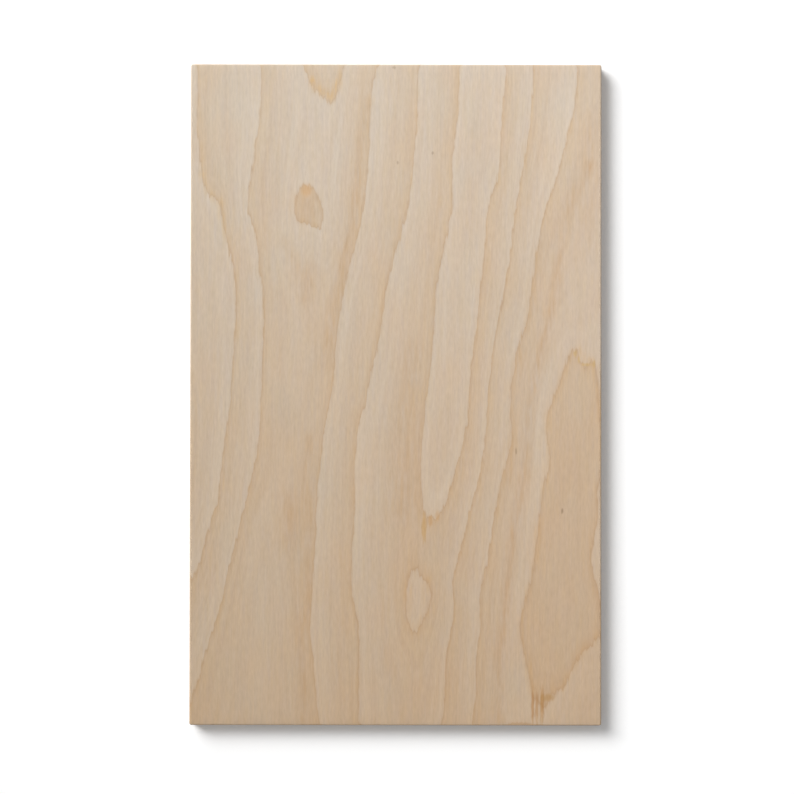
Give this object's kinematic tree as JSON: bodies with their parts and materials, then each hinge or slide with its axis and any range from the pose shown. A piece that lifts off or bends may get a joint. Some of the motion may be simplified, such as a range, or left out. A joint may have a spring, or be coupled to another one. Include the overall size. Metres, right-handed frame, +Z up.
{
  "type": "plywood sheet",
  "caption": "Flat rectangular plywood sheet with a light sanded face veneer, lightly rounded arrises and eased corners.",
  "frame": {"origin": "centre of the underside, at the level of the floor that the sheet lies on", "axes": "+X across the face grain, along the short side; +Y along the face grain, along the long side; +Z up through the thickness, out of the better face"},
  "size_m": [0.28, 0.45, 0.012],
  "materials": {
    "birch_plywood": "sanded, bare"
  },
  "bodies": {
    "root": {"plywood_sheet": "birch_plywood"}
  },
  "joints": []
}
